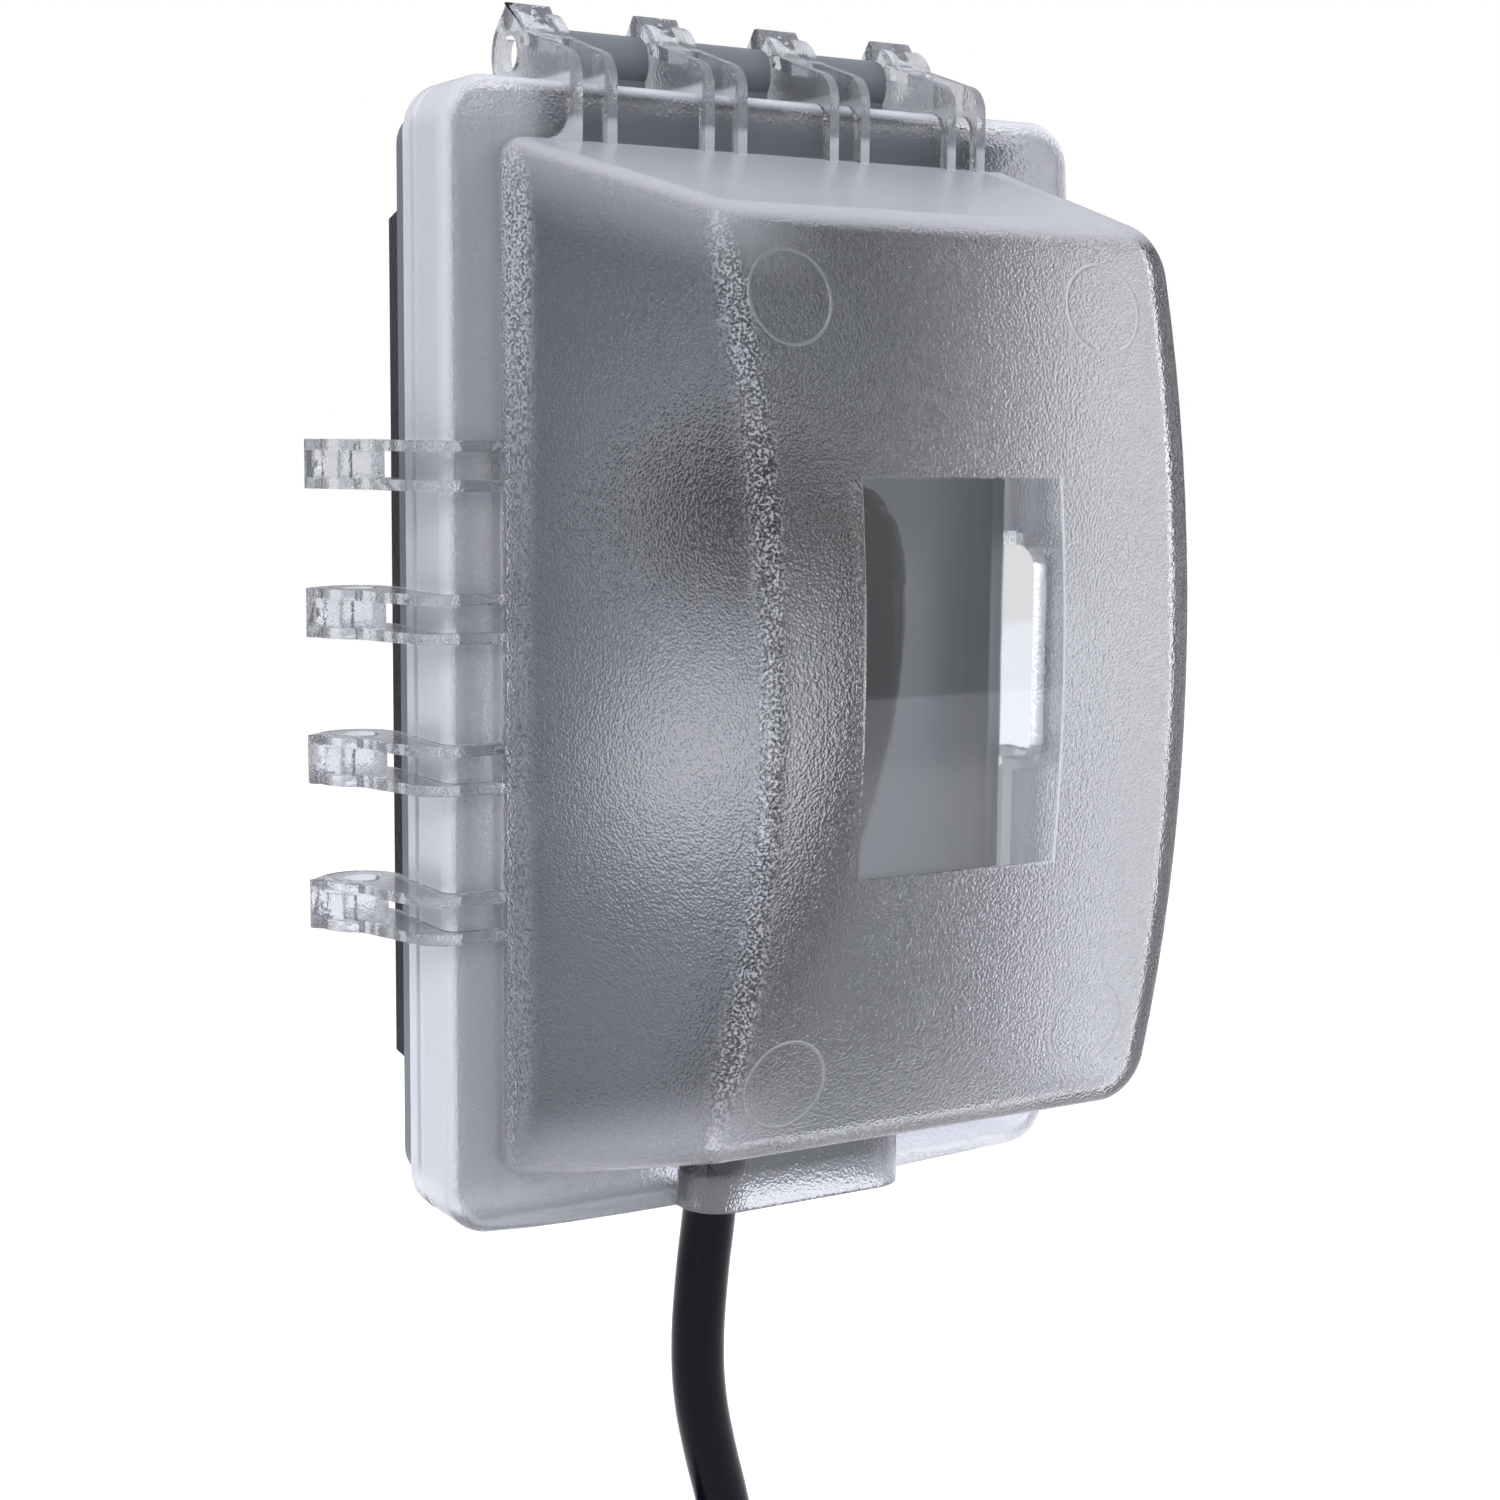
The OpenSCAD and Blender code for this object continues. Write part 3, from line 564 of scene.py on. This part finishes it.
# %% [markdown]
# ## Lid
# The CAD lid has the true form with sharp edges. The real moulding has a rounded bead along the flange's front
# edge and small radii on the dome. It could be modelled afresh, but a copy of the CAD mesh keeps every dimension.
# The CAD mesh itself is never touched.

# %% Working copy of the lid
def only(piece):
    """Selects this piece alone and makes it the active one."""
    bpy.ops.object.select_all(action="DESELECT")
    piece.select_set(True)
    bpy.context.view_layer.objects.active = piece


def cad_copy(node_name, piece_name):
    """A merged copy of a CAD node, with its flat faces joined up."""
    piece = bpy.data.objects.new(piece_name, nodes[node_name].data.copy())
    bpy.context.scene.collection.objects.link(piece)
    only(piece)
    bpy.ops.object.mode_set(mode="EDIT")
    bpy.ops.mesh.select_all(action="SELECT")
    bpy.ops.mesh.remove_doubles(threshold=2e-6)
    bpy.ops.mesh.dissolve_limited(angle_limit=math.radians(0.6))
    bpy.ops.mesh.select_all(action="DESELECT")
    bpy.ops.object.mode_set(mode="OBJECT")
    return piece


lid = cad_copy("lid", "lid_moulding")
print("lid copy, faces", len(lid.data.polygons))

# %% [markdown]
# ## Rounding picked edges
# Moulded corners have radii, some clearly larger than others. A bevel on all edges would give them one width and
# round the thin hooks too, so each edge gets a weight from the first rule that fits where it lies.

# %% Rounding picked edges
def modify(piece, kind, **settings):
    """Adds a modifier to the active piece and applies it."""
    bpy.ops.object.modifier_add(type=kind)
    step = piece.modifiers[-1]
    for key, value in settings.items():
        setattr(step, key, value)
    bpy.ops.object.modifier_apply(modifier=step.name)


def facing_in(face):
    """True for a face that looks back at the wall or towards the lid's middle line."""
    middle, normal = face.center / mm, face.normal
    if abs(normal.y) > 0.5:
        return normal.y > 0
    return middle.x * normal.x + (middle.z - mid_z) * normal.z < 0


def round_edges(piece, rules, segments=5):
    """Rounds edges by rules of (name, test of the two ends in millimetres, width, inner). The first fit counts."""
    mesh = piece.data
    beside = {}
    for face in mesh.polygons:
        for key in face.edge_keys:
            beside.setdefault(key, []).append(face)
    widest = max(rule[2] for rule in rules)
    weights = mesh.attributes.new("bevel_weight_edge", "FLOAT", "EDGE")
    count = dict.fromkeys((rule[0] for rule in rules), 0)
    for edge in mesh.edges:
        faces = beside.get(edge.key, [])
        if len(faces) != 2:
            continue
        one, two = faces
        a, b = (mesh.vertices[i].co / mm for i in edge.vertices)
        outward = (two.center - one.center).dot(one.normal) < 0
        inside = facing_in(one)
        nearly_flat = one.normal.angle(two.normal, 0) < math.radians(14)
        if nearly_flat or outward == inside:
            continue
        for name, test, width, inner in rules:
            if inner == inside and test(a, b):
                weights.data[edge.index].value = width / widest
                count[name] += 1
                break
    only(piece)
    modify(piece, "BEVEL", limit_method="WEIGHT", width=widest * mm, segments=segments, use_clamp_overlap=False,
           loop_slide=False)
    bpy.ops.object.shade_smooth_by_angle(angle=math.radians(28))
    modify(piece, "WEIGHTED_NORMAL", keep_sharp=True)
    return count


print("rounding ready")

# %% [markdown]
# ## The lid's rounded edges
# The photograph shows a thick bead round the flange, a soft ridge between the sloped wall and the front, and
# tighter corners elsewhere. Edges could be listed by number, but a new export would renumber them, so each kind
# is found by its place in millimetres.

# %% The lid's rounded edges
def on_rim(a, b):
    """On the front edge of the flange: on its front plane and on its outline."""
    for v in (a, b):
        out_x, out_z = abs(v.x), abs(v.z - mid_z)
        past = math.hypot(max(out_x - (half_w - corner_r), 0), max(out_z - (half_h - corner_r), 0))
        if abs(v.y - flange_y) > 0.03 or abs(past - corner_r) > 0.06:
            return False
    return True


def on_ridge(a, b):
    """Where the sloped left wall meets the dome's front."""
    return all(-31 < v.x < -25 and v.y < -57 for v in (a, b))


def on_left_corner(a, b):
    """On the dome's two left corners, from the flange to the ends of the ridge."""
    beside = all(v.x < -29 and abs(v.z - mid_z) > 61 for v in (a, b))
    return beside and abs(a.y - b.y) > 1 and (abs(a.x - b.x) < 0.2 or abs(a.x - b.x) > 14)


def on_front(a, b):
    """On the dome's front edges."""
    return all(v.x < 44.2 and -76 < v.z < 72 and v.y < -50 for v in (a, b))


def on_foot(a, b):
    """On the top edge of the upright foot at the dome's left."""
    return all(abs(v.x - foot_x) < 0.6 and abs(v.y - step_y) < 0.4 and abs(v.z - mid_z) < 70 for v in (a, b))


rounded = round_edges(lid, (
    ("rim", on_rim, 2.8, False),
    ("ridge", on_ridge, 3.4, False),
    ("left corners", on_left_corner, 3.6, False),
    ("front", on_front, 1.9, False),
    ("foot", on_foot, 1.2, False),
    ("inner ridge", on_ridge, 2.4, True),
    ("inner front", on_front, 1.0, True),
))
print("rounded edges", rounded)

# %% [markdown]
# ## The lid's two surfaces
# The etched outside and the polished inside are one piece of plastic. Two shells would leave a gap between them,
# so the same mesh carries both materials, by which way each face looks.

# %% The lid's two surfaces
lid.data.materials.clear()
lid.data.materials.append(finishes["clear_lid"])
lid.data.materials.append(core_plastic)
for face in lid.data.polygons:
    face.material_index = int(facing_in(face))
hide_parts("lid")
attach(lid, "lid")
print("polished faces", sum(face.material_index for face in lid.data.polygons), "of", len(lid.data.polygons))

# %% [markdown]
# ## Soft edges on the other mouldings
# Moulded plastic has no knife edge. The base, the insert plate and the outlet's faces get a bevel of a fraction
# of a millimetre, which catches a line of light. It could be faked in the shader, but an exported mesh would lose
# it, so copies of the CAD pieces are bevelled wherever their faces meet sharply.

# %% Soft edges
def soften(node_name, piece_name, width):
    """A copy of a CAD node with bevelled edges, in the node's place."""
    piece = cad_copy(node_name, piece_name)
    modify(piece, "BEVEL", limit_method="ANGLE", angle_limit=math.radians(40), width=width * mm, segments=2)
    bpy.ops.object.shade_smooth_by_angle(angle=math.radians(50))
    modify(piece, "WEIGHTED_NORMAL", keep_sharp=True)
    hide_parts(node_name)
    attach(piece, "cover")
    return len(piece.data.polygons)


for node_name, piece_name, width in (("base", "base_moulding", 0.4), ("insert_plate", "insert_moulding", 0.3),
                                     ("outlet_face", "outlet_faces", 0.25)):
    print(piece_name, "faces", soften(node_name, piece_name, width))

# %% [markdown]
# ## Smooth shading of the CAD pieces
# A round CAD face comes as flat facets. Shading by angle smooths the facets and leaves the real edges sharp. It
# changes no vertex, so the frame stays as it was.

# %% Shade the CAD nodes
showing = [node for node in nodes.values() if not node.hide_render]
for node in showing:
    only(node)
    bpy.ops.object.shade_smooth_by_angle(angle=math.radians(30))
print("shaded", len(showing))

# %% [markdown]
# ## Floor, backdrop and light
# The photograph has a plain white ground. The floor is white to the camera, to mirrors and through clear plastic,
# and the world to the camera and through clear plastic, while the light on the object stays plain, so that colours
# come out about as they are written.

# %% Floor
def white_ground():
    f = Finish("white_ground")
    seen = f.ray("Is Camera Ray").most(f.ray("Is Glossy Ray")).most(f.ray("Is Transmission Ray"))
    paper = f.node("ShaderNodeBsdfDiffuse", {}, {"Color": shade(250, 250, 250)})
    glow = f.node("ShaderNodeEmission", {}, {"Color": (1, 1, 1, 1), "Strength": 0.42})
    lit = f.node("ShaderNodeAddShader", {}, {0: paper, 1: glow})
    return f.output(f.node("ShaderNodeMixShader", {}, {0: seen, 1: paper, 2: lit}))


floor_z = cad_low.z - 0.06
bpy.ops.mesh.primitive_plane_add(size=6, location=(0, 0.5, floor_z))
floor = bpy.context.active_object
floor.name = "floor"
floor.data.materials.append(white_ground())
print("floor at", round(floor_z, 3))

# %% [markdown]
# ## World
# A photo studio has white walls and large lamps above. The world is a soft light that is weaker from below, and
# pure white to the camera and through clear plastic, as the photograph's ground was cut out to white.

# %% World
def studio_world():
    """White to the camera and through clear plastic. To all else a soft light that grows from the floor upwards."""
    world = bpy.data.worlds.new("studio")
    bpy.context.scene.world = world
    world.use_nodes = True
    tree = world.node_tree
    tree.nodes.clear()

    def node(kind, sockets, **settings):
        made = tree.nodes.new(kind)
        for key, value in settings.items():
            setattr(made, key, value)
        for key, value in sockets.items():
            if isinstance(value, bpy.types.NodeSocket):
                tree.links.new(value, made.inputs[key])
            else:
                made.inputs[key].default_value = value
        return made.outputs

    path = node("ShaderNodeLightPath", {})
    seen = node("ShaderNodeMath", {0: path["Is Camera Ray"], 1: path["Is Transmission Ray"]}, operation="MAXIMUM")[0]
    direction = node("ShaderNodeSeparateXYZ", {0: node("ShaderNodeTexCoord", {})["Generated"]})
    height = node("ShaderNodeMapRange", {"Value": direction["Z"], "From Min": -0.1, "From Max": 0.7,
                                         "To Min": 0.36, "To Max": 0.95}, interpolation_type="SMOOTHSTEP")[0]
    fill = node("ShaderNodeBackground", {"Color": (0.88, 0.89, 1.0, 1), "Strength": height})[0]
    white = node("ShaderNodeBackground", {"Color": (1, 1, 1, 1), "Strength": 1.0})[0]
    sky = node("ShaderNodeMixShader", {0: seen, 1: fill, 2: white})[0]
    node("ShaderNodeOutputWorld", {"Surface": sky})


studio_world()
print("world made")

# %% [markdown]
# ## Lamps
# Two soft boxes, a stronger one from the upper left and a weaker one from the right, model the form. A small one
# low at the left gives the cord its thin line of light.

# %% Lamps
def soft_box(name, place, aim, size, power):
    """A square lamp that looks at a point."""
    data = bpy.data.lights.new(name, "AREA")
    data.size = size
    data.energy = power
    lamp = bpy.data.objects.new(name, data)
    bpy.context.scene.collection.objects.link(lamp)
    lamp.location = place
    lamp.rotation_euler = (Vector(aim) - Vector(place)).to_track_quat("-Z", "Y").to_euler()
    print(name, power, "W, side", size)


cover_middle, cord_middle = (0, 0, -0.03), (0, -0.03, -0.11)
soft_box("key_softbox", (-0.9, -1.0, 1.1), cover_middle, 0.9, 11)
soft_box("right_softbox", (1.2, -0.9, 0.3), cover_middle, 0.8, 6)
soft_box("glint_lamp", (-0.97, -0.71, -0.40), cord_middle, 0.16, 2.5)

# %% [markdown]
# ## Picture settings
# The Standard view shows colours as they are written. A film-like view would grey the white ground.

# %% Picture settings
scene = bpy.context.scene
scene.view_settings.view_transform = "Standard"
print("view", scene.view_settings.view_transform)
